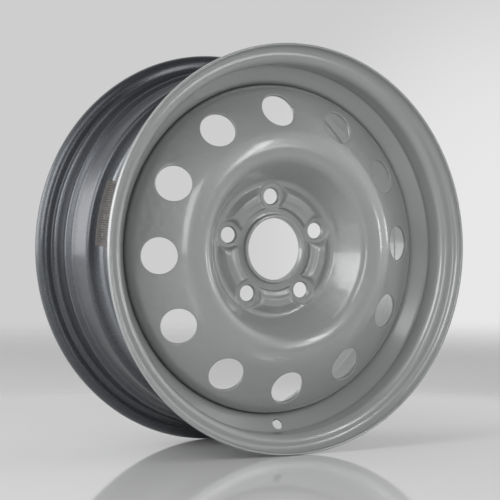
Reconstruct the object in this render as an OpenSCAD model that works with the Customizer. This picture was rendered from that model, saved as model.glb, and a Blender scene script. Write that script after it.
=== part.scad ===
// Steel road wheel: a rolled rim with a drop-centre well, a stamped disc pressed
// into the well, and the weld beads that join the two behind the disc.
// The wheel stands upright. Its spin axis is Y, the street side faces -Y, and the
// origin is on the axis, midway between the two flanges.
// The modules are drawn about Z with the street side up, and are turned at the end.

/* [Rim] */
// Diameter of the bead seats, where they meet the flanges
seat_d = 380.2; // [355:0.1:405]
// Width between the inner faces of the flanges
rim_w = 152.4; // [140:0.1:178]
// Thickness of the rim sheet
rim_t = 2.3; // [1.8:0.1:3]
// Height of a flange above its bead seat
flange_h = 17.3; // [15:0.1:20]
// Reach of a flange beyond its inner face
flange_w = 13; // [12:0.1:15]
// Radius of the curl at the top of a flange
curl_r = 9.5; // [7:0.1:10]
// Angle by which the lip turns down past the crest
lip_droop = 20; // [5:1:25]
// Radius at the heel, between bead seat and flange
heel_r = 6.5; // [4:0.1:8]
// Slope of the bead seats
seat_angle = 5; // [4:0.1:6]
// Distance from a flange to the crest of its hump
hump_x = 24.4; // [23:0.1:27]
// Height of the humps above the bead seats
hump_h = 2.2; // [1:0.1:3]

/* [Drop-centre well] */
// Depth of the well below the bead seats
well_h = 19.5; // [17:0.1:22]
// Foot of the well's wall on the street side, from the rim's middle
well_front = 40.5; // [38:0.1:43]
// Foot of the well's wall on the inner side, from the rim's middle
well_back = -5; // [-10:0.1:5]
// Width that the well's inner wall takes on its way up to the ledge
well_rise = 7; // [5:0.1:12]
// Depth of the ledge below the bead seats
ledge_h = 4.8; // [4:0.1:6]
// Radius at the feet of the well's walls
well_r = 6; // [4:0.1:8]

/* [Valve hole] */
// Diameter of the valve hole
valve_d = 11.3; // [10:0.1:13]
// Place of the valve hole around the rim, counter-clockwise from the top
valve_clock = 180.9; // [170:0.1:190]

/* [Disc] */
// Thickness of the disc sheet
disc_t = 3.5; // [3:0.1:4.2]
// Distance from the rim's middle to the hub face
offset_et = 40.5; // [38:0.1:43]
// Radius of the crown, where the disc stands furthest forward
crown_r = 112; // [110:0.5:116]
// Height of the crown's corner above the pads
crown_h = 35.3; // [32:0.1:38]
// Slope of the vent band
vent_slope = 27.7; // [24:0.1:30]
// Radius of the top of the bowl's wall
bowl_top_r = 90.5; // [87:0.1:94]
// Height of the top of the bowl's wall above the pads
bowl_top_h = 32; // [29:0.1:33]
// Radius of the foot of the bowl's wall
bowl_foot_r = 70.5; // [69.5:0.1:73]
// Length of the skirt that is pressed into the well
skirt_len = 19; // [16:0.5:24]
// Radius of the bend between the vent band and the skirt
skirt_bend_r = 14; // [8:0.5:16]
// Turn of the disc's holes, counter-clockwise from the top
disc_clock = 2.2; // [-10:0.1:10]

/* [Vents] */
// Number of vent holes
vents = 12; // [8:1:14]
// Diameter of a vent hole
vent_d = 36.2; // [28:0.1:38]
// Radius of the circle of vent centres
vent_circle_r = 141.3; // [138:0.1:143]

/* [Hub] */
// Diameter of the centre bore
bore_d = 63.4; // [56:0.1:64]
// Height of the bore's collar above the pads
collar_h = 5; // [3:0.1:6]
// Number of bolt holes
bolts = 5; // [4:1:5]
// Diameter of the bolt circle
bolt_circle_d = 108; // [107:0.1:110]
// Diameter of a bolt hole
bolt_hole_d = 16; // [13:0.1:17]
// Depth of the cone seat at the front of a bolt hole
seat_depth = 2; // [1:0.1:3]
// Radius of the flat pad around a bolt hole
pad_r = 13; // [12:0.1:14]
// Width of the flat that leads from a pad to the collar
pad_w = 16; // [14:0.1:18]
// Slope of the walls around the pads, from the axis
pad_draft = 20; // [5:1:25]
// Radius at which the raised bands between the pads begin
band_r = 42; // [41:0.1:43]
// Height of the bands' inner step above the pads
step_h = 3.8; // [2:0.1:4.5]
// Height of the bands' crest above the pads
band_h = 6.2; // [5:0.1:7]

/* [Weld beads] */
// Number of weld beads
welds = 8; // [4:1:12]
// Angle that each bead covers
weld_angle = 24; // [10:1:28]
// Width of a bead on the rim
weld_leg = 4.5; // [3:0.1:6]

/* [Hidden] */
// Places along the axis, measured from the rim's middle towards the street side
flange_z = rim_w / 2;
hump_z = flange_z - hump_x;
pad_z = offset_et + disc_t;
collar_z = pad_z + collar_h;
crown_z = pad_z + crown_h;
// Radii
seat_r = seat_d / 2;
crest_r = seat_r + flange_h;
well_floor_r = seat_r - well_h;
ledge_r = seat_r - ledge_h;
skirt_r = well_floor_r - rim_t;
bore_r = bore_d / 2;
// The vent band's line meets the skirt here
skirt_top_z = crown_z - (skirt_r - crown_r) * tan(vent_slope);
skirt_z = skirt_top_z - skirt_bend_r * tan((90 - vent_slope) / 2) - skirt_len;
// Angle of one facet on the sheets' bends
bend_step = 8;
// Clearance by which a cutting shape overshoots what it cuts
over = 1;
weld_names = [for (i = [1:welds]) str("weld_bead_", i)];
$fn = 96;

function unit(v) = v / norm(v);
function left_of(v) = [-v[1], v[0]];
function xy(p) = [p[0], p[1]];

// One bend: the arc of radius r that rounds the corner b between a and c
function bend(a, b, c, r) =
    let(p = unit(a - b), q = unit(c - b), half = acos(max(-1, min(1, p * q))) / 2)
    r < 0.01 || half > 89.9 ? [b] :
    let(start = b + p * r / tan(half),
        centre = b + unit(p + q) * r / sin(half),
        ray = start - centre,
        side = left_of(b - a) * (c - b) > 0 ? 1 : -1,
        sweep = side * (180 - 2 * half),
        n = max(2, ceil(abs(sweep) / bend_step)))
    [for (i = [0:n]) let(t = sweep * i / n)
        centre + [ray[0] * cos(t) - ray[1] * sin(t), ray[0] * sin(t) + ray[1] * cos(t)]];

// The same corners on a line that runs d to the left, with each bend's radius to suit
function shifted(pts, d) =
    let(n = len(pts))
    [for (i = [0:n - 1])
        let(b = xy(pts[i]),
            u = unit(i == 0 ? xy(pts[1]) - b : b - xy(pts[i - 1])),
            v = unit(i == n - 1 ? b - xy(pts[i - 1]) : xy(pts[i + 1]) - b),
            move = d * (left_of(u) + left_of(v)) / (1 + u * v),
            side = left_of(u) * v > 0 ? 1 : -1)
        [b[0] + move[0], b[1] + move[1], max(0, pts[i][2] - side * d)]];

// A line of corners [radius, height, bend radius] with its bends drawn in
function bent(pts) =
    let(n = len(pts))
    [for (i = [0:n - 1]) each
        i == 0 || i == n - 1 ? [xy(pts[i])]
        : bend(xy(pts[i - 1]), xy(pts[i]), xy(pts[i + 1]), pts[i][2])];

// A sheet of thickness t to the left of a line of corners
function sheet(pts, t) =
    let(far = bent(shifted(pts, t)), n = len(far))
    concat(bent(pts), [for (i = [n - 1:-1:0]) far[i]]);

// Corner at the crest of the hump on the side s = 1 or -1
function hump_top(s) =
    [seat_r - hump_x * tan(seat_angle) + hump_h + 0.3, s * hump_z, 5];

// Corners of one side of the rim, from the lip to the hump, for the side s = 1 or -1
function flange_side(s) =
    let(centre_r = crest_r - curl_r,
        rise = curl_r / cos(lip_droop),
        past = flange_w - curl_r)
    [[centre_r + rise - past * tan(lip_droop), s * (flange_z + flange_w), 0],
     [centre_r + rise + curl_r * tan(lip_droop), s * flange_z, curl_r],
     [seat_r, s * flange_z, heel_r],
     [seat_r - (hump_x - 6) * tan(seat_angle), s * (hump_z + 6), 5],
     hump_top(s)];

// Foot of the well's wall on the street side
wall_foot = [well_floor_r, well_front, well_r];

// The rim's tyre side, from the inner lip to the street lip
rim_line =
    let(street = flange_side(1), n = len(street))
    concat(
        flange_side(-1),
        [[ledge_r, -hump_z + 6.5, 4],
         [ledge_r - 0.8, well_back - well_rise, well_r],
         [well_floor_r, well_back, well_r],
         wall_foot],
        [for (i = [n - 1:-1:0]) street[i]]);

// The disc's front, from the foot of the collar to the end of the skirt
disc_line =
    [[bore_r + disc_t, pad_z, 0],
     [band_r, pad_z, 0.8],
     [band_r + 1.6, pad_z + step_h, 1.2],
     [band_r + 6, pad_z + step_h + 0.4, 2],
     [band_r + 9.5, pad_z + band_h, 3],
     [band_r + 16.5, pad_z + band_h, 2.5],
     [bowl_foot_r - 5, pad_z + 1.2, 2.5],
     [bowl_foot_r, pad_z + 1.6, 5],
     [bowl_top_r, pad_z + bowl_top_h, 14],
     [crown_r, crown_z, 35],
     [skirt_r, skirt_top_z, skirt_bend_r],
     [skirt_r, skirt_z, 0]];

// Everything behind the disc's front, down to the skirt's end
module front_body() {
    collar = [[bore_r, skirt_z, 0],
              [bore_r, collar_z, 1],
              [bore_r + disc_t, collar_z, 1.2],
              [bore_r + disc_t, pad_z, 1]];
    rest = [for (i = [1:len(disc_line) - 1]) disc_line[i]];
    rotate_extrude() polygon(bent(concat(collar, rest)));
}

// Everything behind the disc's rear face
module rear_body() {
    rear = bent(shifted(disc_line, -disc_t));
    last = rear[len(rear) - 1];
    rotate_extrude() polygon(concat(
        [[0, skirt_z - over], [0, offset_et]],
        rear,
        [[last[0], skirt_z - over]]));
}

// The room over one pad, from the height z up: a round well and the flat beside it
module pad_room(grow, z) {
    height = 2 * band_h;
    wider = height * tan(pad_draft);
    half_w = pad_w / 2 + grow;
    translate([0, bolt_circle_d / 2, z])
        cylinder(r1 = pad_r + grow, r2 = pad_r + grow + wider, h = height);
    start_r = band_r - 3;
    translate([0, start_r, z]) rotate([-90, 0, 0]) mirror([0, 1, 0])
        linear_extrude(bolt_circle_d / 2 - start_r)
            polygon([[-half_w, 0], [half_w, 0], [half_w + wider, height], [-half_w - wider, height]]);
}

module at_bolts() {
    for (i = [0:bolts - 1]) rotate(disc_clock + i * 360 / bolts) children();
}

module at_vents() {
    for (i = [0:vents - 1]) rotate(disc_clock + i * 360 / vents) children();
}

// A bolt hole with its cone seat
module bolt_hole() {
    translate([0, bolt_circle_d / 2, offset_et - over])
        cylinder(d = bolt_hole_d, h = disc_t + 2 * over);
    translate([0, bolt_circle_d / 2, pad_z - seat_depth])
        cylinder(d1 = bolt_hole_d, d2 = bolt_hole_d + 2 * (seat_depth + over) * tan(30),
                 h = seat_depth + over);
}

// A vent hole, pierced square to the slope of the vent band
module vent_hole() {
    vent_z = crown_z - (vent_circle_r - crown_r) * tan(vent_slope);
    translate([0, vent_circle_r, vent_z]) rotate([-vent_slope, 0, 0])
        translate([0, 0, -disc_t - 6]) cylinder(d = vent_d, h = disc_t + 12);
}

// The front body less the pads' rooms
module pressed_front() {
    difference() {
        front_body();
        at_bolts() pad_room(0, pad_z);
    }
}

// The rear body less the pads' walls and floors
module pressed_rear() {
    wall = disc_t * (1 - sin(pad_draft)) / cos(pad_draft);
    difference() {
        rear_body();
        at_bolts() pad_room(wall, offset_et);
    }
}

module wheel_disc() {
    color("#8f928f") rotate([90, 0, 0]) difference() {
        pressed_front();
        pressed_rear();
        at_bolts() bolt_hole();
        at_vents() vent_hole();
        // Lead-in at the back of the bore
        translate([0, 0, offset_et - over])
            cylinder(r1 = bore_r + 2, r2 = bore_r, h = over + 1);
    }
}

// The valve hole, pierced square to the well's wall on the street side
module valve_hole() {
    top = hump_top(1);
    lean = atan2(top[1] - wall_foot[1], top[0] - wall_foot[0]);
    reach = 3 * rim_t;
    translate([0, (top[0] + wall_foot[0]) / 2, (top[1] + wall_foot[1]) / 2])
        rotate([lean, 0, 0])
            translate([0, 0, -reach]) cylinder(d = valve_d, h = 2 * reach + rim_t);
}

module rim() {
    color("#7f8280") rotate([90, 0, 0]) difference() {
        rotate_extrude() polygon(sheet(rim_line, rim_t));
        rotate(valve_clock) valve_hole();
    }
}

// One weld bead, in the corner between the skirt's end and the well's floor
module weld_bead(i) {
    leg = disc_t * 0.8;
    color("#6f7270") rotate([90, 0, 0])
        rotate(disc_clock + i * 360 / welds - weld_angle / 2)
            rotate_extrude(angle = weld_angle)
                polygon([[skirt_r, skirt_z], [skirt_r - leg, skirt_z],
                         [skirt_r - 0.75 * leg, skirt_z - 0.5 * weld_leg],
                         [skirt_r - 0.3 * leg, skirt_z - 0.85 * weld_leg],
                         [skirt_r, skirt_z - weld_leg]]);
}

rim();
wheel_disc();
for (i = [0:welds - 1])
    weld_bead(i);
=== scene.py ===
# Pressed steel wheel: fine sheet surfaces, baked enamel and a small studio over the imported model.
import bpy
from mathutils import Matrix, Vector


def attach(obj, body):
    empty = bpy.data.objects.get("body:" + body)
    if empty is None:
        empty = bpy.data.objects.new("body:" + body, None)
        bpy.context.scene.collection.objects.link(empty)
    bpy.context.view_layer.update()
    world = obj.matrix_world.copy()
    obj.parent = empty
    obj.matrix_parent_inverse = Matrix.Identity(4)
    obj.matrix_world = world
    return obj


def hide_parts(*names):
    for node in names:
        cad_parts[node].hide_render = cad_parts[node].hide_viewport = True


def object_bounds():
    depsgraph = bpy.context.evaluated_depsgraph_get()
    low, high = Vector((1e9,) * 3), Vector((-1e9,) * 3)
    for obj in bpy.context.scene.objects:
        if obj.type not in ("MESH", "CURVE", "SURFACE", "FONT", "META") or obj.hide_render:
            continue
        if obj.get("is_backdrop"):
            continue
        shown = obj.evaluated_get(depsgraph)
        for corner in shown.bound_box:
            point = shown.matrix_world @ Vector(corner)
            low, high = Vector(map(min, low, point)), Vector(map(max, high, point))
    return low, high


bl_info = {
    "name": "Pressed Steel Wheel",
    "version": (1, 0, 0),
    "blender": (4, 5, 0),
    "location": "3D View > Sidebar > Steel Wheel",
    "description": "Builds the sheets, welds and paint of a pressed steel wheel, and its studio",
    "category": "Mesh",
}

from math import atan2, ceil, cos, hypot, pi, radians, sin, tan

import bpy
import numpy as np
from bpy.props import FloatProperty, FloatVectorProperty, IntProperty, PointerProperty

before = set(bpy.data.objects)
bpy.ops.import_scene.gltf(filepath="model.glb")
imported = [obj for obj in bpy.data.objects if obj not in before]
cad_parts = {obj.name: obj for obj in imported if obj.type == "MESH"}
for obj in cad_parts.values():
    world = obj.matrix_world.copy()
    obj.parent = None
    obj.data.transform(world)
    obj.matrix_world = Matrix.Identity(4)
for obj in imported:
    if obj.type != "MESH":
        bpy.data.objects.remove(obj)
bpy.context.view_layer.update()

MM = 0.001
TURN = 2 * pi
TIGHTEST_BEND = 1.2 * MM
ARC_STEP = radians(3)
SHEARED_EDGE = 0.7 * MM


# Sizes, colours and lamp powers that a user would change

def linear(code):
    """An sRGB hex colour as linear red, green, blue and alpha: ((c + 0.055) / 1.055) to the 2.4,
    or c / 12.92 below 0.04045."""
    srgb = [int(code[i:i + 2], 16) / 255 for i in (1, 3, 5)]
    return tuple(c / 12.92 if c <= 0.04045 else ((c + 0.055) / 1.055) ** 2.4 for c in srgb) + (1.0,)


def length(name, mm, about):
    """A length in metres whose default is given in millimetres."""
    return FloatProperty(name=name, description=about, default=mm * MM, min=0.0,
                         precision=5, unit="LENGTH")


def angle(name, degrees, about):
    """An angle whose default is given in degrees."""
    return FloatProperty(name=name, description=about, default=radians(degrees), subtype="ANGLE")


def colour(name, code, about):
    """A colour whose default is an sRGB hex value."""
    return FloatVectorProperty(name=name, description=about, default=linear(code), size=4,
                               min=0.0, max=1.0, subtype="COLOR")


class RimSizes(bpy.types.PropertyGroup):
    seat_d: length("Seat diameter", 380.2, "Across the bead seats, where they meet the flanges")
    width: length("Width", 152.4, "Between the inner faces of the flanges")
    sheet: length("Sheet", 2.3, "Thickness of the rim sheet")
    flange_h: length("Flange height", 17.22, "Height of a flange above its bead seat")
    flange_w: length("Flange reach", 13, "Reach of a flange beyond its inner face")
    curl: length("Curl", 9.5, "Radius of the curl at the top of a flange")
    droop: angle("Lip droop", 20, "Angle by which the lip turns down past the crest")
    heel: length("Heel", 6.5, "Radius between bead seat and flange")
    seat_slope: angle("Seat slope", 5, "Slope of the bead seats")
    hump_x: length("Hump place", 24.4, "From a flange to the crest of its hump")
    hump_h: length("Hump height", 2.2, "Height of the humps above the bead seats")
    well_h: length("Well depth", 19.5, "Depth of the well below the bead seats")
    well_front: length("Well front", 40.5, "Foot of the well's street wall, from the rim's middle")
    well_back: length("Well back", 5, "Foot of the well's inner wall, behind the rim's middle")
    well_rise: length("Well rise", 7, "Width that the well's inner wall takes on its way up")
    ledge_h: length("Ledge depth", 4.8, "Depth of the ledge below the bead seats")
    well_r: length("Well bends", 6, "Radius at the feet of the well's walls")
    valve_d: length("Valve hole", 11.3, "Diameter of the valve hole")
    valve_clock: angle("Valve place", 180.9, "Place of the valve hole, counter-clockwise from the top")
    lip_edge: length("Lip edge", 0.9, "Rounding of the lips' sheared edges")


class DiscSizes(bpy.types.PropertyGroup):
    sheet: length("Sheet", 3.5, "Thickness of the disc sheet")
    offset: length("Offset", 40.5, "From the rim's middle to the hub face")
    crown_r: length("Crown radius", 112, "Radius at which the disc stands furthest forward")
    crown_h: length("Crown height", 35.3, "Height of the crown's corner above the pads")
    vent_slope: angle("Vent band slope", 27.7, "Slope of the band that holds the vents")
    bowl_top_r: length("Bowl top radius", 90.5, "Radius of the top of the bowl's wall")
    bowl_top_h: length("Bowl top height", 32, "Height of the top of the bowl's wall above the pads")
    bowl_foot_r: length("Bowl foot radius", 70.5, "Radius of the foot of the bowl's wall")
    skirt: length("Skirt", 19, "Length of the skirt that is pressed into the well")
    skirt_bend: length("Skirt bend", 14, "Radius between the vent band and the skirt")
    clock: angle("Clock", 2.2, "Turn of the disc's holes, counter-clockwise from the top")
    vents: IntProperty(name="Vents", description="Number of vent holes", default=12, min=6, max=20)
    vent_d: length("Vent diameter", 36.2, "Diameter of a vent hole")
    vent_circle_r: length("Vent circle", 141.3, "Radius of the circle of vent centres")
    bore_d: length("Bore", 63.4, "Diameter of the centre bore")
    collar_h: length("Collar height", 5, "Height of the bore's collar above the pads")
    bolts: IntProperty(name="Bolts", description="Number of bolt holes", default=5, min=3, max=6)
    bolt_circle_d: length("Bolt circle", 108, "Diameter of the circle of bolt holes")
    bolt_hole_d: length("Bolt hole", 16, "Diameter of a bolt hole")
    seat_depth: length("Cone seat", 2, "Depth of the cone seat at the front of a bolt hole")
    pad_r: length("Pad radius", 13.2, "Radius of the pad around a bolt hole")
    pad_out: length("Pad centre", 1.2, "From a bolt hole outwards to the middle of its pad")
    pad_w: length("Pad lane", 16, "Width of the flat that leads from a pad to the collar")
    pad_draft: angle("Pad draft", 26, "Slope of the walls around the pads, from the axis")
    band_r: length("Band radius", 42, "Radius at which the raised bands between the pads begin")
    step_h: length("Step height", 3.8, "Height of the bands' inner step above the pads")
    band_h: length("Band height", 6.2, "Height of the bands' crest above the pads")


class WeldSizes(bpy.types.PropertyGroup):
    welds: IntProperty(name="Beads", description="Number of weld beads", default=8, min=1, max=12)
    sweep: angle("Sweep", 24, "Angle that each bead covers")
    leg: length("Leg on the rim", 4.5, "Width of a bead on the rim")
    throat: length("Leg on the disc", 2.8, "Width of a bead on the skirt's end")
    ripple: length("Ripple", 1.7, "Distance between the ripples of a bead")


class LabelSizes(bpy.types.PropertyGroup):
    long: angle("Length", 22.6, "Angle of the rim that the label covers")
    clock: angle("Place", 77.6, "Middle of the label, counter-clockwise from the top")
    wide: length("Width", 35, "Width of the label along the rim's section")
    paper: length("Paper", 0.12, "Thickness of the label")


class WheelPaint(bpy.types.PropertyGroup):
    face: colour("Enamel", "#9B9D9D", "Grey enamel of the street side")
    shade: colour("Enamel, darker", "#949796", "The same enamel where the coat is thinner")
    primer: colour("Primer", "#393B3F", "Dark coat under the thin enamel of the tyre side")
    dust: colour("Overspray", "#5C5F64", "Dry overspray on the tyre side")
    # Lighter overspray colour in the well: painted light for the bright reflection of the well's
    # floor, over the same grain
    well_dust_and_sheen: colour("Overspray in the well", "#95989D", "Thicker overspray in the well")
    soot: colour("Weld soot", "#6A6765", "Weld metal that the arc has browned")
    paper: colour("Label", "#5A5654", "Aged label on the tyre side")
    grime: colour("Label grime", "#73716F", "Dust on the label")
    ink: colour("Label rules", "#2C2B2B", "Plain rules across the label")


def lamp_power(name, watts, about):
    """The power of a softbox in watts."""
    return FloatProperty(name=name, description=about, default=watts, min=0.0)


class StudioSettings(bpy.types.PropertyGroup):
    floor: colour("Floor", "#E0E0E0", "Pale glossy floor")
    backdrop: colour("Backdrop", "#CECECE", "Background behind the wheel")
    glow: colour("Backdrop glow", "#E8E8E8", "Brightest part of the background, on the right")
    room: colour("Room", "#FFFFFF", "Surroundings in front of the wheel and beside it")
    camera: FloatVectorProperty(name="Camera", description="Camera's place", unit="LENGTH",
                                default=(-0.9700, -1.6868, 0.0270))
    azimuth: angle("Azimuth", -29.845, "Camera's direction around the wheel")
    rise: angle("Rise", 0.843, "Camera's direction above level")
    lens: FloatProperty(name="Lens", description="Focal length in millimetres", default=134.0)
    key: lamp_power("Key", 38.0, "Tall softbox beside the camera")
    side: lamp_power("Side", 15.0, "Large softbox on the left")
    front: lamp_power("Front", 2.6, "Broad softbox on the right")
    strip: lamp_power("Strip", 2.2, "Narrow softbox on the right")
    near_spot: lamp_power("Near spot", 0.4, "Small lamp at the foot of the strip")
    spot: lamp_power("Spot", 1.1, "Small lamp beyond the strip")
    far_spot: lamp_power("Far spot", 0.75, "Small lamp at the far right")
    top: lamp_power("Top", 3.0, "Softbox above on the left")
    back: lamp_power("Back", 11.5, "Softbox behind the wheel on the left")


# Lines of a section, as arrays of (radius, place along the axis)

def unit(v):
    return v / hypot(*v)


def left_of(v):
    return np.array([-v[1], v[0]])


def shifted(corners, d):
    """The corners of a line that runs d to the left of another, each moved along its mitre by
    d / cos(half its turn), with bends that keep the same centres, down to the tightest one."""
    moved = []
    for i, (r, z, bend) in enumerate(corners):
        b = np.array([r, z])
        u = unit(b - corners[i - 1][:2]) if i else unit(np.array(corners[1][:2]) - b)
        v = unit(np.array(corners[i + 1][:2]) - b) if i + 1 < len(corners) else u
        side = 1 if left_of(u) @ v > 0 else -1
        b = b + d * (left_of(u) + left_of(v)) / (1 + u @ v)
        moved.append((b[0], b[1], max(TIGHTEST_BEND, bend - side * d)))
    return moved


def rounded(corners, closed=False):
    """A line of corners (radius, place, bend) with each corner drawn as an arc. The arc starts
    bend * tan(half the turn) before the corner, and turns about a centre one bend to the side."""
    line = []
    for i, (r, z, bend) in enumerate(corners):
        b = np.array([r, z])
        if not closed and i in (0, len(corners) - 1):
            line.append(b[None])
            continue
        u = unit(b - np.array(corners[i - 1][:2]))
        v = unit(np.array(corners[(i + 1) % len(corners)][:2]) - b)
        turn = atan2(left_of(u) @ v, u @ v)
        if bend < 1e-6 or abs(turn) < 1e-3:
            line.append(b[None])
            continue
        start = b - u * bend * tan(abs(turn) / 2)
        centre = start + left_of(u) * bend * np.sign(turn)
        ray = start - centre
        t = np.linspace(0, turn, max(3, ceil(abs(turn) / ARC_STEP) + 1))[:, None]
        line.append(centre + np.cos(t) * ray + np.sin(t) * left_of(ray))
    if closed:
        line.append(line[0][:1])
    return np.concatenate(line)


def run_lengths(line):
    """Distance from the start of a line to each of its points."""
    return np.concatenate([[0], np.cumsum(np.hypot(*np.diff(line, axis=0).T))])


def place_on(line, point):
    """Distance along a line to its nearest point to another: the foot of the perpendicular on
    each piece, clamped to the piece, and the nearest of all."""
    a, piece = line[:-1], np.diff(line, axis=0)
    t = np.clip(((point - a) * piece).sum(1) / np.maximum((piece ** 2).sum(1), 1e-20), 0, 1)
    near = np.hypot(*(a + t[:, None] * piece - point).T)
    i = near.argmin()
    return run_lengths(line)[i] + t[i] * hypot(*piece[i])


def stations(line, step, turn, stops=()):
    """Points along a line at which length / step + turning / turn grows evenly. Each stop is a
    distance that gets a point of its own, with the number of spaces before it, or None.
    Returns the points, their distances and the row of each stop."""
    pieces = np.diff(line, axis=0)
    runs = np.hypot(*pieces.T)
    heading = np.unwrap(np.arctan2(pieces[:, 1], pieces[:, 0]))
    bends = np.abs(np.diff(heading)) / 2
    effort = runs / step + (np.append(bends, 0) + np.append(0, bends)) / turn
    total, far = np.append(0, np.cumsum(effort)), run_lengths(line)
    marks, rows, last = [np.zeros(1)], [], 0.0
    for stop, spaces in [*stops, (far[-1], None)]:
        low, high = np.interp([last, stop], far, total)
        marks.append(np.linspace(low, high, (spaces or ceil(high - low)) + 1)[1:])
        rows.append(sum(len(m) for m in marks) - 1)
        last = stop
    s = np.interp(np.concatenate(marks), total, far)
    points = np.stack([np.interp(s, far, line[:, 0]), np.interp(s, far, line[:, 1])], axis=1)
    return points, s, rows[:-1]


def place_at(line):
    """The place along the axis as a function of the radius, on a line whose radius only grows."""
    return lambda r, clock=0: np.interp(r, line[:, 0], line[:, 1])


def height_on(line, low, high):
    """place_at for the part of a line between two distances, where the radius only grows or only
    shrinks."""
    far = run_lengths(line)
    part = line[(far > low) & (far < high)]
    ends = [[np.interp(s, far, line[:, k]) for k in (0, 1)] for s in (low, high)]
    part = np.concatenate([ends[:1], part, ends[1:]])
    return place_at(part if part[0, 0] < part[-1, 0] else part[::-1])


# Closed skins

def around(r, place, clock):
    """Radius, place along the axis and clock angle from the top, as x = -r sin(clock),
    y = -place and z = r cos(clock)."""
    r, place, clock = np.broadcast_arrays(r, place, clock)
    return np.stack([-r * np.sin(clock), -place, r * np.cos(clock)], axis=-1)


class Skin:
    """Gathers grids of vertices and the faces between them, and makes them one closed mesh."""

    def __init__(self):
        self.points, self.values, self.faces, self.count = [], [], [], 0

    def grid(self, xyz, value=0.0):
        """Adds an array of points, with one value each, and returns their vertex numbers."""
        shape = xyz.shape[:-1]
        size = int(np.prod(shape))
        self.points.append(xyz.reshape(-1, 3))
        self.values.append(np.broadcast_to(value, shape).reshape(-1))
        self.count += size
        return np.arange(self.count - size, self.count).reshape(shape)

    def weave(self, rows, keep=None):
        """Quads between neighbouring rows of closed rings."""
        a, b = rows[:-1], rows[1:]
        quads = np.stack([a, np.roll(a, -1, 1), np.roll(b, -1, 1), b], axis=-1)
        self.faces.append(quads[keep] if keep is not None else quads.reshape(-1, 4))

    def halve(self, fine, coarse, turned=False):
        """Five-sided faces from a ring to one with half as many vertices, turned round where the
        coarse ring comes first."""
        ring = [fine[::2], fine[1::2], np.roll(fine[::2], -1), np.roll(coarse, -1), coarse]
        self.faces.append(np.stack(ring[::-1] if turned else ring, axis=-1))

    def make(self, name, value_name="side"):
        """The object, smooth shaded, with its faces turned outwards: the sum of the signed
        volumes of the tetrahedra from the origin to each face is positive."""
        points, values = np.concatenate(self.points), np.concatenate(self.values)
        fans = [f[:, [0, k, k + 1]] for f in self.faces for k in range(1, f.shape[1] - 1)]
        a, b, c = (points[np.concatenate(fans)[:, k]] for k in range(3))
        if (np.cross(a, b) * c).sum() < 0:
            self.faces = [f[:, ::-1] for f in self.faces]
        sizes = np.concatenate([np.full(len(f), f.shape[1]) for f in self.faces])
        mesh = bpy.data.meshes.new(name)
        mesh.vertices.add(len(points))
        mesh.vertices.foreach_set("co", points.astype(np.float32).ravel())
        mesh.loops.add(int(sizes.sum()))
        mesh.loops.foreach_set("vertex_index",
                               np.concatenate([f.ravel() for f in self.faces]).astype(np.int32))
        mesh.polygons.add(len(sizes))
        mesh.polygons.foreach_set("loop_start", np.append(0, np.cumsum(sizes)[:-1]).astype(np.int32))
        mesh.update(calc_edges=True)
        mesh.attributes.new(value_name, "FLOAT", "POINT").data.foreach_set(
            "value", values.astype(np.float32))
        if mesh.validate():
            raise RuntimeError(name + " has faces that don't close")
        mesh.shade_smooth()
        piece = bpy.data.objects.new(name, mesh)
        bpy.context.scene.collection.objects.link(piece)
        return piece


def opened(ids, keep, row_in, row_out, mid, half):
    """Leaves a window's quads out of a grid. Returns the vertices around it, from the row nearer
    to the axis and the lower clock angle, once around."""
    n, step = ids.shape[1], 1 if row_out > row_in else -1
    low, high = mid - half, mid + half
    rows = np.arange(min(row_in, row_out), max(row_in, row_out))
    keep[np.ix_(rows, np.arange(low, high) % n)] = False
    return np.concatenate([
        ids[row_in, np.arange(low, high) % n],
        ids[np.arange(row_in, row_out, step), high % n],
        ids[row_out, np.arange(high, low, -1) % n],
        ids[np.arange(row_out, row_in, -step), low % n]])


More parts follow.
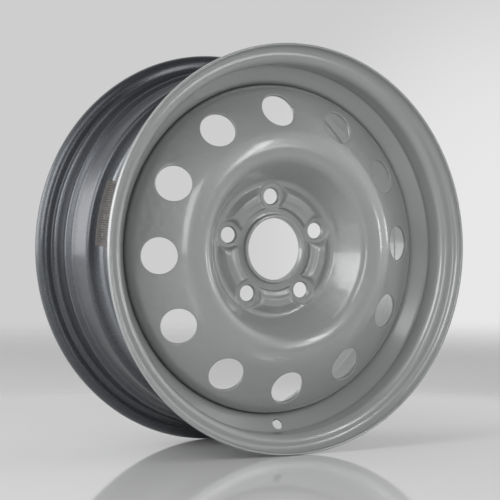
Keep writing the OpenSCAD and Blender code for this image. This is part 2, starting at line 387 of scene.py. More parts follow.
class Hole:
    """A round hole, punched square to a sheet that is a surface of turning. centre and lean are
    (radius, place) and the sheet's direction away from the axis, for its near face."""

    def __init__(self, centre, lean, sheet, near, far, flip=1):
        self.centre, self.lean, self.sheet = np.array(centre), lean, sheet
        self.near, self.far = near, far
        self.normal = left_of(lean) * flip

    def point(self, clock, rho, phi, depth, from_far=False):
        """Polar place (rho, phi) about the hole's axis, carried along the axis direction to the
        near or far face and then sunk by depth: with p = rho cos(phi) along the sheet and
        q = rho sin(phi) across it, the radius is the hypotenuse of (centre + p * lean) and q."""
        centre = self.centre - self.normal * self.sheet * from_far
        a, q = centre[0] + rho * np.cos(phi) * self.lean[0], rho * np.sin(phi)
        r, turn = np.hypot(a, q), np.arctan2(q, a)
        place = (self.far if from_far else self.near)(r, clock + turn)
        xyz = around(r, place, clock + turn)
        sink = around(self.normal[0], self.normal[1], clock)
        return xyz + (1 if from_far else -1) * np.asarray(depth)[..., None] * sink

    def polar(self, xyz, clock, from_far=False):
        """The polar place of points on a face, the other way round."""
        centre = self.centre - self.normal * self.sheet * from_far
        a = -xyz[:, 0] * sin(clock) + xyz[:, 2] * cos(clock) - centre[0]
        q = -xyz[:, 0] * cos(clock) - xyz[:, 2] * sin(clock)
        p = a / self.lean[0]
        return np.hypot(p, q), np.arctan2(q, p)

    def cut(self, skin, clock, near_edge, far_edge, section, far_section, blend, value=(0, 0)):
        """Fills the two windows with rings. Between a window and the hole's edge the rings blend
        from the window's outline to a circle; section and far_section hold (radius, depth) from
        the near face's edge down the wall, and from the far face's edge up the wall."""
        points = np.concatenate(skin.points)
        rho, phi = self.polar(points[near_edge], clock)
        s, t = np.array(section), np.array(blend)[:, None]
        near_rows = np.concatenate([
            near_edge[None],
            skin.grid(self.point(clock, rho * t + s[0, 0] * (1 - t), phi, 0 * t * rho), value[0]),
            skin.grid(self.point(clock, s[:, :1], phi, s[:, 1:] + 0 * phi), value[0])])
        skin.weave(near_rows)
        far_phi = phi if len(far_edge) == len(near_edge) else phi[::2]
        rho2, phi2 = self.polar(points[far_edge], clock, True)
        turn = (phi2 - far_phi + pi) % TURN - pi
        s, t = np.array(far_section)[::-1], t[::-1]
        far_rows = np.concatenate([
            skin.grid(self.point(clock, s[:, :1], far_phi, s[:, 1:] + 0 * far_phi, True), value[1]),
            skin.grid(self.point(clock, rho2 * t + s[-1, 0] * (1 - t), far_phi + turn * t,
                                 0 * t * rho2, True), value[1]),
            far_edge[None]])
        skin.weave(far_rows)
        if len(far_edge) == len(near_edge):
            skin.weave(np.stack([near_rows[-1], far_rows[0]]))
        else:
            skin.halve(near_rows[-1], far_rows[0])


def punched_edge(radius, bend):
    """Section of a rounded edge, from the face to the wall: a quarter circle of four steps."""
    t = np.linspace(0, pi / 2, 5)
    return np.stack([radius + bend - bend * np.sin(t), bend - bend * np.cos(t)], axis=1)


# Paint

def add(tree, kind, inputs=(), **settings):
    """Adds a shader node with its settings, and sets or links its inputs. An input that is given
    as a node is linked from that node's first output."""
    node = tree.nodes.new("ShaderNode" + kind)
    for key, value in settings.items():
        setattr(node, key, value)
    for key, value in dict(inputs).items():
        if isinstance(value, bpy.types.Node):
            value = next(socket for socket in value.outputs if socket.enabled)
        if isinstance(value, bpy.types.NodeSocket):
            tree.links.new(value, node.inputs[key])
        else:
            node.inputs[key].default_value = value
    return node


def new_material(name):
    """An empty node material, its tree and its Object coordinates."""
    material = bpy.data.materials.new(name)
    material.use_nodes = True
    tree = material.node_tree
    tree.nodes.clear()
    return material, tree, add(tree, "TexCoord").outputs["Object"]


def noise(tree, where, size, detail=1.0):
    """A noise whose blotches are about size millimetres across."""
    return add(tree, "TexNoise", {"Vector": where, "Scale": 1 / (size * MM), "Detail": detail})


def ramp(tree, value, start, stop, low=0.0, high=1.0, kind="LINEAR"):
    """A number that goes from low to high while the value goes from start to stop."""
    return add(tree, "MapRange", {"Value": value, "From Min": start, "From Max": stop,
                                  "To Min": low, "To Max": high}, interpolation_type=kind)


def mixed(tree, share, low, high):
    """A colour that is low where the share is 0 and high where it is 1."""
    return add(tree, "Mix", {"Factor": share, "A": low, "B": high}, data_type="RGBA")


def shaded(material, inputs):
    """The material, with one principled shader as its surface."""
    tree = material.node_tree
    add(tree, "OutputMaterial", {"Surface": add(tree, "BsdfPrincipled", inputs)})
    return material


def street_grey(tree, where, paint):
    """The enamel's grey, which drifts a little over about 45 mm, and the noise that it follows."""
    cloud = noise(tree, where, 45, 3.0)
    return mixed(tree, cloud, paint.shade, paint.face), cloud


def blotches(tree, cloud, start, low, high):
    """A noise turned into two colours, with the change between start and 1 - start."""
    tone = add(tree, "ValToRGB", {"Fac": cloud})
    for stop, place, shade in zip(tone.color_ramp.elements, (start, 1 - start), (low, high)):
        stop.position, stop.color = place, shade
    return tone


def grey_enamel(paint):
    """Grey enamel: paint sprayed on and baked to a smooth semi-gloss coat. Its clear skin gives
    small sharp reflections over an even grey, with a faint orange peel and the slight waves that
    pressing left in the sheet."""
    material, tree, where = new_material("grey_enamel")
    tone, cloud = street_grey(tree, where, paint)
    gloss = ramp(tree, cloud, 0, 1, 0.36, 0.42)
    waves = noise(tree, where, 9)
    sheet = add(tree, "Bump", {"Height": waves, "Strength": 1.0, "Distance": 0.5 * MM})
    peel = noise(tree, where, 2.4)
    skin = add(tree, "Bump", {"Height": peel, "Strength": 0.1, "Distance": 0.05 * MM, "Normal": sheet})
    return shaded(material, {"Base Color": tone, "Metallic": 0.15, "Roughness": gloss,
                             "Coat Weight": 1.0, "Coat Roughness": 0.13, "Normal": skin})


def rim_enamel(paint):
    """Rim enamel: the same grey on the street side, and on the tyre side a thin dry coat over dark
    primer, which looks darker and has a fine sparkle. Its grain is drawn at about twice its size,
    because the real one is finer than a pixel."""
    material, tree, where = new_material("rim_enamel")
    side = add(tree, "Attribute", attribute_name="side").outputs["Fac"]
    street = street_grey(tree, where, paint)[0]
    grain = noise(tree, where, 0.8)
    dust = blotches(tree, grain, 0.3, paint.primer, paint.dust)
    # In the well, at radii under about 176 mm, the overspray grain turns lighter: painted light that
    # stands in for the bright reflection of the well's floor
    across = add(tree, "VectorMath", {0: where, 1: (1.0, 0.0, 1.0)}, operation="MULTIPLY")
    radius = add(tree, "VectorMath", {0: across}, operation="LENGTH")
    well = ramp(tree, radius, 179 * MM, 173 * MM)
    well_dust_and_sheen = mixed(tree, grain, paint.dust, paint.well_dust_and_sheen)
    tyre = mixed(tree, well, dust, well_dust_and_sheen)
    tone = mixed(tree, side, street, tyre)
    gloss = ramp(tree, side, 0, 1, 0.4, 0.36)
    metal = ramp(tree, side, 0, 1, 0.15, 0.7)
    skin = ramp(tree, side, 0, 1, 1.0, 0.4)
    peel = add(tree, "Bump", {"Height": grain, "Strength": 0.15, "Distance": 0.05 * MM})
    return shaded(material, {"Base Color": tone, "Metallic": metal, "Roughness": gloss,
                             "Coat Weight": skin, "Coat Roughness": 0.13, "Normal": peel})


def welded_steel(paint):
    """Painted weld metal: thin enamel over steel that the arc left rippled and slightly browned."""
    material, tree, where = new_material("painted_weld")
    soot = noise(tree, where, 6, 5.0)
    tone = blotches(tree, soot, 0.35, paint.soot, paint.shade)
    return shaded(material, {"Base Color": tone, "Metallic": 0.5, "Roughness": 0.42})


def label_paper(paint):
    """Aged label: matt coated paper, greyed by dust, with plain broken rules across it and a bare
    margin."""
    material, tree, where = new_material("label_paper")
    uv = add(tree, "TexCoord").outputs["UV"]
    parts = add(tree, "SeparateXYZ", {"Vector": uv}).outputs
    rules = add(tree, "TexWave", {"Vector": uv, "Scale": 9.0, "Distortion": 0.0}, bands_direction="Y")
    breaks = noise(tree, where, 2.6)
    grime = noise(tree, where, 5, 4.0)
    tone = mixed(tree, grime, paint.paper, paint.grime)
    line = ramp(tree, rules.outputs["Fac"], 0.4, 0.7)
    gap = ramp(tree, breaks, 0.38, 0.46)
    # The margin, from 0 at the label's sides to 1 at 0.09 of its width and 0.04 of its length
    inside = []
    for axis, margin in (("X", 0.09), ("Y", 0.04)):
        far = add(tree, "Math", {0: parts[axis], 1: 0.5}, operation="SUBTRACT")
        far = add(tree, "Math", {0: far}, operation="ABSOLUTE")
        inside.append(ramp(tree, far, 0.5 - margin, 0.49 - margin))
    ink = line
    for part in (gap, *inside, 0.9):
        ink = add(tree, "Math", {0: ink, 1: part}, operation="MULTIPLY")
    ruled = mixed(tree, ink, tone, paint.ink)
    return shaded(material, {"Base Color": ruled, "Roughness": 0.62})


# Sections of the wheel

def rim_corners(rim):
    """Corners of the rim's tyre side, from the inner lip to the street lip."""
    flange, seat = rim.width / 2, rim.seat_d / 2
    curl = seat + rim.flange_h - rim.curl + rim.curl / cos(rim.droop)
    past, hump = rim.flange_w - rim.curl, flange - rim.hump_x
    # The hump's rounding takes a little off its corner, so the corner stands higher
    slope_w, fall_w, hump_bend, hump_lift = 6 * MM, 6.5 * MM, 5 * MM, 0.3 * MM
    ledge_fall, ledge_bend, rise = 0.8 * MM, 4 * MM, tan(rim.seat_slope)

    def side(s):
        return [(curl - past * tan(rim.droop), s * (flange + rim.flange_w), rim.lip_edge),
                (curl + rim.curl * tan(rim.droop), s * flange, rim.curl),
                (seat, s * flange, rim.heel),
                (seat - (rim.hump_x - slope_w) * rise, s * (hump + slope_w), hump_bend),
                (seat - rim.hump_x * rise + rim.hump_h + hump_lift, s * hump, hump_bend)]

    ledge, floor = seat - rim.ledge_h, seat - rim.well_h
    return side(-1) + [
        (ledge, -hump + fall_w, ledge_bend),
        (ledge - ledge_fall, -rim.well_back - rim.well_rise, rim.well_r),
        (floor, -rim.well_back, rim.well_r),
        (floor, rim.well_front, rim.well_r)] + side(1)[::-1]


def disc_corners(disc, skirt_r):
    """Corners of the disc's front, from the foot of the collar to the end of the skirt."""
    pad = disc.offset + disc.sheet
    crown = pad + disc.crown_h
    top = crown - (skirt_r - disc.crown_r) * tan(disc.vent_slope)
    end = top - disc.skirt_bend * tan((pi / 2 - disc.vent_slope) / 2) - disc.skirt
    # Corners of a band from its first radius outwards, and of the gutter before the bowl
    step_w, shelf_w, rise_w, crest_w, gutter_w = np.array([1.6, 6, 9.5, 16.5, 5]) * MM
    shelf_h, gutter_h, foot_h = np.array([0.4, 1.2, 1.6]) * MM
    bends = np.array([1, 0.8, 1.2, 2, 3, 2.5, 2.5, 5, 14, 44]) * MM
    band, step, crest, foot = disc.band_r, pad + disc.step_h, pad + disc.band_h, disc.bowl_foot_r
    corners = [
        (disc.bore_d / 2 + disc.sheet, pad),
        (band, pad),
        (band + step_w, step),
        (band + shelf_w, step + shelf_h),
        (band + rise_w, crest),
        (band + crest_w, crest),
        (foot - gutter_w, pad + gutter_h),
        (foot, pad + foot_h),
        (disc.bowl_top_r, pad + disc.bowl_top_h),
        (disc.crown_r, crown),
        (skirt_r, top),
        (skirt_r, end)]
    return [(*corner, bend) for corner, bend in zip(corners, (*bends, disc.skirt_bend, SHEARED_EDGE))]


PAD_BLEND = 3 * MM
PAD_CREST = 3


def pad_edge(disc, r, clock):
    """Distance outside the outline of the nearest pad: a circle about the bolt hole joined to a
    lane towards the collar, with the two distances blended where they nearly meet."""
    pitch = TURN / disc.bolts
    turn = (clock - disc.clock + pitch / 2) % pitch - pitch / 2
    a, q = r * np.cos(turn) - disc.bolt_circle_d / 2, r * np.sin(turn)
    well = np.hypot(a - disc.pad_out, q) - disc.pad_r
    lane = np.maximum(np.abs(q) - disc.pad_w / 2, a)
    blend = np.maximum(PAD_BLEND - np.abs(well - lane), 0) / PAD_BLEND
    return np.minimum(well, lane) - blend ** 2 * PAD_BLEND / 4


def pressed(disc, base, floor, edge, foot):
    """Height of the bands with the pads pressed into them. The wall rises from the pad's edge at
    the draft angle, after a parabola 2 * foot wide. Wall a and band b meet as a round crest,
    a * b / (a ^ 3 + b ^ 3) ^ (1 / 3)."""
    ramp = np.where(edge > foot, edge, np.maximum(edge + foot, 0) ** 2 / (4 * foot))
    wall, band = ramp / tan(disc.pad_draft) / MM, np.maximum(base - floor, 0) / MM
    both = np.maximum(wall ** PAD_CREST + band ** PAD_CREST, 1e-12)
    return floor + MM * wall * band / both ** (1 / PAD_CREST)


# Operators

class WHEEL_OT_rim(bpy.types.Operator):
    """Rolls the rim: one closed section turned about the axis, with the valve hole pierced"""
    bl_idname = "wheel.rim"
    bl_label = "Rim"

    def execute(self, context):
        rim = context.scene.wheel_rim
        tyre_side = rim_corners(rim)
        inside = shifted(tyre_side, rim.sheet)
        for k in (0, -1):
            inside[k] = (*inside[k][:2], rim.lip_edge)
        line = rounded(tyre_side + inside[::-1], closed=True)
        foot, top = (np.array(tyre_side[k][:2]) for k in (-6, -5))
        lean = unit(top - foot)
        centre, across = (foot + top) / 2, -left_of(lean)
        margin, slack, edge = 1.9 * MM, 2 * MM, 0.45 * MM
        reach = rim.valve_d / 2 + margin
        stops = []
        for middle, sign in ((centre, 1), (centre - across * rim.sheet, -1)):
            stops += [(place_on(line, middle - sign * lean * reach), None),
                      (place_on(line, middle + sign * lean * reach), 10)]
        points, s, rows = stations(line, step=2.8 * MM, turn=radians(16), stops=stops)
        clocks = rim_clocks(rim.valve_clock)
        # 1 on the tyre side, and 0 from just before the street lip on, over a change 8 mm wide
        lip, change = place_on(line, (np.array(tyre_side[-1][:2]) + inside[-1][:2]) / 2), 8 * MM
        tyre = np.clip((lip - change / 2 - s) / change, 0, 1)
        skin = Skin()
        ids = skin.grid(around(points[:-1, :1], points[:-1, 1:], clocks), tyre[:-1, None])
        ids = np.concatenate([ids, ids[:1]])
        keep = np.ones((len(ids) - 1, ids.shape[1]), bool)
        near = opened(ids, keep, rows[0], rows[1], 0, VALVE_COLUMNS)
        far = opened(ids, keep, rows[3], rows[2], 0, VALVE_COLUMNS)
        skin.weave(ids, keep)
        hole = Hole(centre, lean, rim.sheet,
                    height_on(line, stops[0][0] - slack, stops[1][0] + slack),
                    height_on(line, stops[2][0] - slack, stops[3][0] + slack), flip=-1)
        wall = punched_edge(rim.valve_d / 2, edge)
        hole.cut(skin, rim.valve_clock, near, far, wall, wall, (0.75, 0.45, 0.15), (1, 0))
        piece = skin.make("rim_shell")
        piece.data.materials.append(rim_enamel(context.scene.wheel_paint))
        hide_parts("rim")
        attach(piece, "root")
        return {"FINISHED"}


# Columns on each side of the valve hole and the angle that they cover, and for the rest of the turn
VALVE_COLUMNS, VALVE_SPAN, REST_COLUMNS = 12, radians(3.6), 228


def rim_clocks(valve):
    """Clock angles of the rim's columns, in fine steps on both sides of the valve hole and in even
    coarse steps for the rest of the turn."""
    ends = (0, VALVE_SPAN, TURN - VALVE_SPAN, TURN)
    counts = (VALVE_COLUMNS, REST_COLUMNS, VALVE_COLUMNS)
    return valve + np.concatenate([np.linspace(low, high, n + 1)[:-1]
                                   for low, high, n in zip(ends, ends[1:], counts)])


# Rounding of a punched edge where the punch goes in and where it comes out, and the cone's slope
PUNCHED_IN, PUNCHED_OUT, CONE_SLOPE = 0.9 * MM, 0.4 * MM, radians(30)
# Columns of the disc, twice as many on the hub's front, and half the width of a hole's window
COLUMNS, WINDOW = 300, 9
# Share of the way from a hole's edge to its window's outline, for each ring between the two
BOLT_RINGS = (0.85, 0.7, 0.55, 0.4, 0.25, 0.1)
VENT_RINGS = (0.6, 0.2)


class WHEEL_OT_disc(bpy.types.Operator):
    """Stamps the disc: one closed section turned about the axis, with pads, vents and bolt holes"""
    bl_idname = "wheel.disc"
    bl_label = "Disc"

    def execute(self, context):
        disc, rim = context.scene.wheel_disc, context.scene.wheel_rim
        gap = 0.02 * MM
        skirt_r = rim.seat_d / 2 - rim.well_h - rim.sheet - gap
        front = disc_corners(disc, skirt_r)
        back = shifted(front, -disc.sheet)
        back[-1] = (*back[-1][:2], SHEARED_EDGE)
        bore, pad = disc.bore_d / 2, disc.offset + disc.sheet
        top = pad + disc.collar_h
        collar = [(bore, disc.offset, 1.4 * MM), (bore, top, 1.0 * MM),
                  (bore + disc.sheet, top, 1.2 * MM)]
        line = rounded(collar + front + back[:0:-1], closed=True)
        front_place, back_place = place_at(rounded(front)), place_at(rounded(back))
        # Half the width of the curve at the foot of the pads' walls
        front_foot, back_foot = 1.1 * MM, 1.6 * MM

        def front_face(r, clock):
            return pressed(disc, front_place(r), pad, pad_edge(disc, r, clock), front_foot)

        def back_face(r, clock):
            wall = disc.sheet * (1 - sin(disc.pad_draft)) / cos(disc.pad_draft)
            edge = pad_edge(disc, r, clock) - wall
            return pressed(disc, back_place(r), disc.offset, edge, back_foot)

        def on(place, r):
            return np.array([r, place(r)])

        lean = np.array([cos(disc.vent_slope), -sin(disc.vent_slope)])
        vent = on(front_place, disc.vent_circle_r)
        vent_back = vent - left_of(lean) * disc.sheet
        vent_r, hole_r = disc.vent_d / 2, disc.bolt_hole_d / 2
        vent_reach, bolt_reach = vent_r + 3.6 * MM, hole_r + 2.4 * MM
        ring = disc.bolt_circle_d / 2
        hub_in, hub_out = disc.band_r - 0.9 * MM, disc.bowl_foot_r + 4 * MM
        stops = [(place_on(line, point), spaces) for point, spaces in (
            (on(front_place, hub_in), None), (on(front_place, ring - bolt_reach), None),
            (on(front_place, ring + bolt_reach), 30), (on(front_place, hub_out), None),
            (vent - lean * vent_reach, None), (vent + lean * vent_reach, 19),
            (vent_back + lean * vent_reach, None), (vent_back - lean * vent_reach, 19),
            (on(back_place, ring + bolt_reach), None), (on(back_place, ring - bolt_reach), 15))]
        points, s, rows = stations(line, step=2.9 * MM, turn=radians(21), stops=stops)
        # The hub's front gets rows of its own, closer together
        hub, _, hub_rows = stations(line, step=1.2 * MM, turn=radians(19), stops=stops[:4])
        hub = hub[hub_rows[0] + 1:hub_rows[3]]
        coarse = disc.clock + np.arange(COLUMNS) * TURN / COLUMNS
        fine = disc.clock + np.arange(2 * COLUMNS) * TURN / (2 * COLUMNS)
        rest, s = points[rows[3]:-1], s[rows[3]:-1]
        # The pads show on the rear from well past the vents on
        pads = (s > stops[6][0] + 30 * MM) & (rest[:, 0] < disc.bowl_foot_r + 6 * MM)
        place = np.where(pads[:, None], back_face(rest[:, :1], coarse), rest[:, 1:])
        skin = Skin()
        a_ids = skin.grid(around(points[:rows[0] + 1, :1], points[:rows[0] + 1, 1:], coarse))
        b_ids = skin.grid(around(hub[:, :1], front_face(hub[:, :1], fine), fine))
        c_ids = skin.grid(around(rest[:, :1], place, coarse))
        skin.weave(a_ids)
        skin.halve(b_ids[0], a_ids[-1], turned=True)
        skin.halve(b_ids[-1], c_ids[0])
        skin.weave(np.stack([c_ids[-1], a_ids[0]]))

        b_keep = np.ones((len(b_ids) - 1, 2 * COLUMNS), bool)
        c_keep = np.ones((len(c_ids) - 1, COLUMNS), bool)
        b_in, b_out = (row - hub_rows[0] - 1 for row in hub_rows[1:3])
        c_rows = [row - rows[3] for row in rows[4:]]
        bolt = Hole((ring, pad), np.array([1.0, 0.0]), disc.sheet, front_face, back_face)
        vent_hole = Hole(vent, lean, disc.sheet, front_place, back_place)
        wide = hole_r + disc.seat_depth * tan(CONE_SLOPE)
        # From the pad over the cone's rounded edge, and down to the wall
        cone = np.array([(wide + 0.45 * MM, 0), (wide + 0.2 * MM, 0.03 * MM), (wide, 0.15 * MM),
                         (hole_r + 0.1 * MM, disc.seat_depth), (hole_r, disc.seat_depth + 0.25 * MM)])
        # Each kind of hole, how many there are, its window in front and how much finer the columns
        # are there, its window's rows behind, and its sections
        kinds = (
            (bolt, disc.bolts, (b_ids, b_keep, b_in, b_out), 2, c_rows[5:3:-1],
             (cone, punched_edge(hole_r, PUNCHED_OUT), BOLT_RINGS)),
            (vent_hole, disc.vents, (c_ids, c_keep, *c_rows[:2]), 1, c_rows[3:1:-1],
             (punched_edge(vent_r, PUNCHED_IN), punched_edge(vent_r, PUNCHED_OUT), VENT_RINGS)))
        cuts = []
        for hole, count, front_rows, finer, back_rows, sections in kinds:
            for i in range(count):
                mid = i * COLUMNS // count
                cuts.append((hole, disc.clock + i * TURN / count,
                             opened(*front_rows, finer * mid, finer * WINDOW),
                             opened(c_ids, c_keep, *back_rows, mid, WINDOW), *sections))
        skin.weave(b_ids, b_keep)
        skin.weave(c_ids, c_keep)
        for hole, *cut in cuts:
            hole.cut(skin, *cut)
        piece = skin.make("disc_shell")
        piece.data.materials.append(grey_enamel(context.scene.wheel_paint))
        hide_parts("wheel_disc")
        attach(piece, "root")
        return {"FINISHED"}


class WHEEL_OT_welds(bpy.types.Operator):
    """Lays the weld beads in the corner between the disc's skirt and the rim's well"""
    bl_idname = "wheel.welds"
    bl_label = "Weld beads"

    def execute(self, context):
        scene = context.scene
        weld, disc, rim = scene.wheel_welds, scene.wheel_disc, scene.wheel_rim
        skirt_r = rim.seat_d / 2 - rim.well_h - rim.sheet
        end = disc_corners(disc, skirt_r)[-1][1]
        paint = welded_steel(scene.wheel_paint)
        for i in range(weld.welds):
            piece = weld_run(weld, i, disc.clock + i * TURN / weld.welds, skirt_r, end)
            piece.data.materials.append(paint)
            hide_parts("weld_bead_%d" % (i + 1))
            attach(piece, "root")
        return {"FINISHED"}


def weld_run(weld, number, clock, corner_r, corner_place):
    """One bead: a quarter ellipse about the corner line, swept along the rim. Its size follows
    the root of a half ellipse at the two ends and sways a little along the bead, less small
    curved ripples: one wave per ripple, whose phase lags towards the rim."""
    along, across, taper, sway, gap = 190, 13, 3 * MM, 11 * MM, 0.03 * MM
    u = np.linspace(-1, 1, along)[:, None]
    v = np.linspace(0, 1, across)[None] * pi / 2
    half = weld.sweep / 2 * corner_r
    ends = np.minimum(1, (1 - np.abs(u)) * half / taper)
    size = np.sqrt(np.maximum(1 - (1 - ends) ** 2, 0.0004))
    wave = 1 + np.cos(u * half / weld.ripple * TURN + 1.6 * np.sin(2 * v) + number)
    size = size * (0.97 - 0.03 * np.cos(u * half / sway * TURN + 2 * number)
                   - 0.035 * wave * np.sin(2 * v))
    r = corner_r - gap - (weld.throat - gap) * np.cos(v) * size
    place = corner_place - weld.leg * np.sin(v) * size
    corner = np.full((along, 1), corner_r - gap), np.full((along, 1), corner_place)
    r, place = (np.concatenate([c, x], axis=1) for c, x in zip(corner, (r, place)))
    skin = Skin()
    ids = skin.grid(around(r, place, clock + u * weld.sweep / 2))
    skin.weave(ids)
    skin.faces += [ids[:1, ::-1], ids[-1:]]
    return skin.make("weld_run_%d" % (number + 1))


class WHEEL_OT_label(bpy.types.Operator):
    """Lays the blank label on the well's floor, on the tyre side"""
    bl_idname = "wheel.label"
    bl_label = "Label"

    def execute(self, context):
        scene = context.scene
        label, rim = scene.wheel_label, scene.wheel_rim
        across, along, lead = 40, 70, 6 * MM
        corners = rim_corners(rim)
        line = rounded(corners)
        far = run_lengths(line)
        start = place_on(line, np.array(corners[7][:2])) - lead
        s = np.linspace(start, start + label.wide, across)
        r, place = (np.interp(s, far, line[:, k]) for k in (0, 1))
        heading = np.gradient(np.stack([r, place]), axis=1)
        heading /= np.hypot(*heading)
        clocks = label.clock + np.linspace(-0.5, 0.5, along) * label.long
        u, v = np.meshgrid(np.linspace(0, 1, across), np.linspace(0, 1, along), indexing="ij")
        # The paper's thickness, and a faint curl of its outer edge
        lift = label.paper * (1 + 0.8 * np.sin(5 * v + 2) ** 2 * (u > 0.9))
        skin = Skin()
        low, high = (skin.grid(around(r[:, None] + out * heading[1][:, None],
                                      place[:, None] - out * heading[0][:, None], clocks))
                     for out in (0.02 * MM + 0 * lift, lift))
        for ids, turned in ((low, 1), (high, -1)):
            quads = np.stack([ids[:-1, :-1], ids[:-1, 1:], ids[1:, 1:], ids[1:, :-1]], axis=-1)
            skin.faces.append(quads.reshape(-1, 4)[:, ::turned])
        a, b = (np.concatenate([ids[0, :-1], ids[:-1, -1], ids[-1, :0:-1], ids[:0:-1, 0]])
                for ids in (low, high))
        skin.faces.append(np.stack([np.roll(a, -1), a, b, np.roll(b, -1)], axis=-1))
        piece = skin.make("barrel_label")
        uv = piece.data.uv_layers.new(name="label")
        corner = np.zeros(len(piece.data.loops), np.int32)
        piece.data.loops.foreach_get("vertex_index", corner)
        flat = np.stack([u.ravel(), v.ravel()], axis=1)
        uv.data.foreach_set("uv", np.concatenate([flat, flat])[corner].astype(np.float32).ravel())
        piece.data.materials.append(label_paper(scene.wheel_paint))
        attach(piece, "root")
        return {"FINISHED"}


class WHEEL_OT_studio(bpy.types.Operator):
    """Sets the pale floor, the background, the softboxes and the camera"""
    bl_idname = "wheel.studio"
    bl_label = "Studio"

    def execute(self, context):
        scene, studio = context.scene, context.scene.wheel_studio
        self.floor(scene, studio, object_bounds()[0][2])
        self.world(scene, studio)
        for name, azimuth, rise, away, wide, high in LAMPS:
            softbox(name, radians(azimuth), radians(rise), away, wide, high, getattr(studio, name))
        lens = bpy.data.cameras.new("camera")
        lens.lens, lens.sensor_width = studio.lens, 36.0
        camera = bpy.data.objects.new("camera", lens)
        camera.location = studio.camera
        camera.rotation_euler = (pi / 2 - studio.rise, 0.0, studio.azimuth)
        scene.collection.objects.link(camera)
        scene.camera = camera
        scene.view_settings.view_transform = "Standard"
        return {"FINISHED"}

    def floor(self, scene, studio, lowest):
        """A disc of floor, a painted board that is glossy near the wheel and matt further away,
        and that fades into the background towards its edge. Its rings grow with the square of
        their number, and the innermost is filled."""
        rings, sides, edge = 24, 96, 6.0
        ring = (np.linspace(0, 1, rings + 1)[1:] ** 2 * edge)[:, None]
        t = np.linspace(0, TURN, sides + 1)[:-1]
        xyz = np.stack(np.broadcast_arrays(ring * np.cos(t), ring * np.sin(t), lowest), axis=-1)
        ids = np.arange(rings * sides).reshape(rings, sides)
        quads = np.stack([ids[:-1], ids[1:], np.roll(ids[1:], -1, 1), np.roll(ids[:-1], -1, 1)],
                         axis=-1).reshape(-1, 4)
        mesh = bpy.data.meshes.new("floor")
        mesh.from_pydata(xyz.reshape(-1, 3).tolist(), [], quads.tolist() + [ids[0].tolist()])
        piece = bpy.data.objects.new("floor", mesh)
        scene.collection.objects.link(piece)
        material, tree, where = new_material("floor_board")
        far = add(tree, "VectorMath", {0: where}, operation="LENGTH")
        fade = ramp(tree, far, 1.2, 2.6, kind="SMOOTHSTEP")
        matt = ramp(tree, far, 0.5, 0.9, 0.05, 0.5, kind="SMOOTHSTEP")
        board = add(tree, "BsdfPrincipled", {"Base Color": studio.floor, "Roughness": matt,
                                             "IOR": 1.45})
        clear = add(tree, "BsdfTransparent")
        blend = add(tree, "MixShader", {0: fade, 1: board, 2: clear})
        add(tree, "OutputMaterial", {"Surface": blend})
        mesh.materials.append(material)
        piece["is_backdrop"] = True

    def world(self, scene, studio):
        """The surroundings by direction: the backdrop behind the wheel, which gets brighter
        towards the right, and a dim room with a few bright parts. The camera always sees the
        backdrop."""
        world = bpy.data.worlds.new("studio")
        world.use_nodes = True
        tree = world.node_tree
        tree.nodes.clear()
        ray = add(tree, "TexCoord").outputs["Generated"]

        def towards(azimuth, rise, low, high):
            part = add(tree, "VectorMath", {0: ray, 1: direction(radians(azimuth), radians(rise))},
                       operation="DOT_PRODUCT")
            return ramp(tree, part, low, high, kind="SMOOTHSTEP")

        glow, behind = towards(*GLOW), towards(*BEHIND)
        strength = ROOM_DIM
        for azimuth, rise, low, high, more in ROOM:
            part = towards(azimuth, rise, low, high)
            strength = add(tree, "Math", {0: part, 1: more, 2: strength}, operation="MULTIPLY_ADD")
        path = add(tree, "LightPath").outputs
        seen = add(tree, "Math", {0: path["Is Camera Ray"], 1: path["Is Transmission Ray"]},
                   operation="MAXIMUM")
        shown = add(tree, "Math", {0: seen, 1: behind}, operation="MAXIMUM")
        tone = mixed(tree, glow, studio.backdrop, studio.glow)
        backdrop = add(tree, "Background", {"Color": tone, "Strength": 1.0})
        room = add(tree, "Background", {"Color": studio.room, "Strength": strength})
        mix = add(tree, "MixShader", {0: shown, 1: room, 2: backdrop})
        add(tree, "OutputWorld", {"Surface": mix})
        scene.world = world


# Parts of the surroundings: azimuth and rise in degrees, and the cosines of the angles from there
# at which the part fades out and is full. Those of the room also have the strength that they add.
GLOW = (141, -1, cos(radians(10)), 1.0)
BEHIND = (172, 0, 0.3, 0.8)
ROOM_DIM = 0.1
ROOM = ((250, 10, 0.6, 0.95, 1.5),
        (90, 5, 0.55, 0.95, 1.25))

# Each lamp's name, azimuth and rise in degrees, and distance, width and height in metres.
# Azimuth 0 is in front of the street side and 90 is to its right.
LAMPS = (("key", 348, 12, 5.0, 1.2, 2.3),
         ("side", 291, 24, 1.9, 0.8, 1.4),
         ("front", 34, 23, 1.9, 1.7, 0.9),
         ("strip", 25, 14, 1.9, 0.09, 0.5),
         ("near_spot", 28, 6, 1.9, 0.12, 0.14),
         ("spot", 50, 2, 1.9, 0.15, 0.2),
         ("far_spot", 75, 4, 1.9, 0.2, 0.2),
         ("top", 310, 55, 1.9, 1.0, 0.7),
         ("back", 228, 12, 1.9, 1.45, 1.0))


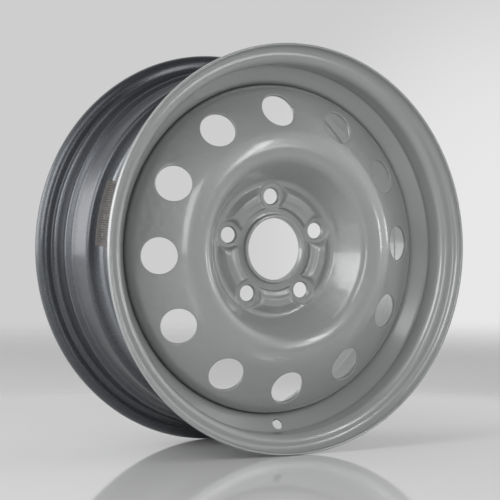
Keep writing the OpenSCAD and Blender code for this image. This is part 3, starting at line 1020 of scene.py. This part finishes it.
def direction(azimuth, rise):
    """The unit vector x = sin(azimuth) cos(rise), y = -cos(azimuth) cos(rise), z = sin(rise)."""
    return sin(azimuth) * cos(rise), -cos(azimuth) * cos(rise), sin(rise)


def softbox(name, azimuth, rise, away, wide, high, power):
    """A rectangular lamp at a distance from the wheel's middle, which it faces."""
    lamp = bpy.data.lights.new(name, "AREA")
    lamp.shape, lamp.size, lamp.size_y, lamp.energy = "RECTANGLE", wide, high, power
    box = bpy.data.objects.new(name, lamp)
    box.location = away * np.array(direction(azimuth, rise))
    box.rotation_euler = (pi / 2 - rise, 0.0, azimuth)
    box.visible_camera = False
    bpy.context.scene.collection.objects.link(box)


class WHEEL_PT_panel(bpy.types.Panel):
    """Lists the wheel's sizes, colours and operators"""
    bl_idname = "WHEEL_PT_panel"
    bl_label = "Steel Wheel"
    bl_space_type = "VIEW_3D"
    bl_region_type = "UI"
    bl_category = "Steel Wheel"

    def draw(self, context):
        for key, (group, operators) in GROUPS.items():
            box = self.layout.box()
            for name in group.__annotations__:
                box.prop(getattr(context.scene, key), name)
            for operator in operators:
                box.operator(operator.bl_idname)


# Each group of sizes, colours or lamps, and the operators that use it
GROUPS = {"wheel_rim": (RimSizes, [WHEEL_OT_rim]), "wheel_disc": (DiscSizes, [WHEEL_OT_disc]),
          "wheel_welds": (WeldSizes, [WHEEL_OT_welds]),
          "wheel_label": (LabelSizes, [WHEEL_OT_label]), "wheel_paint": (WheelPaint, []),
          "wheel_studio": (StudioSettings, [WHEEL_OT_studio])}
CLASSES = [item for group, operators in GROUPS.values() for item in (group, *operators)]
CLASSES.append(WHEEL_PT_panel)


def register():
    for item in CLASSES:
        bpy.utils.register_class(item)
    for key, (group, _) in GROUPS.items():
        setattr(bpy.types.Scene, key, PointerProperty(type=group))


def unregister():
    for key in GROUPS:
        delattr(bpy.types.Scene, key)
    for item in reversed(CLASSES):
        bpy.utils.unregister_class(item)


def main():
    register()
    bpy.ops.wheel.rim()
    bpy.ops.wheel.disc()
    bpy.ops.wheel.welds()
    bpy.ops.wheel.label()
    bpy.ops.wheel.studio()


if __name__ == "__main__":
    main()
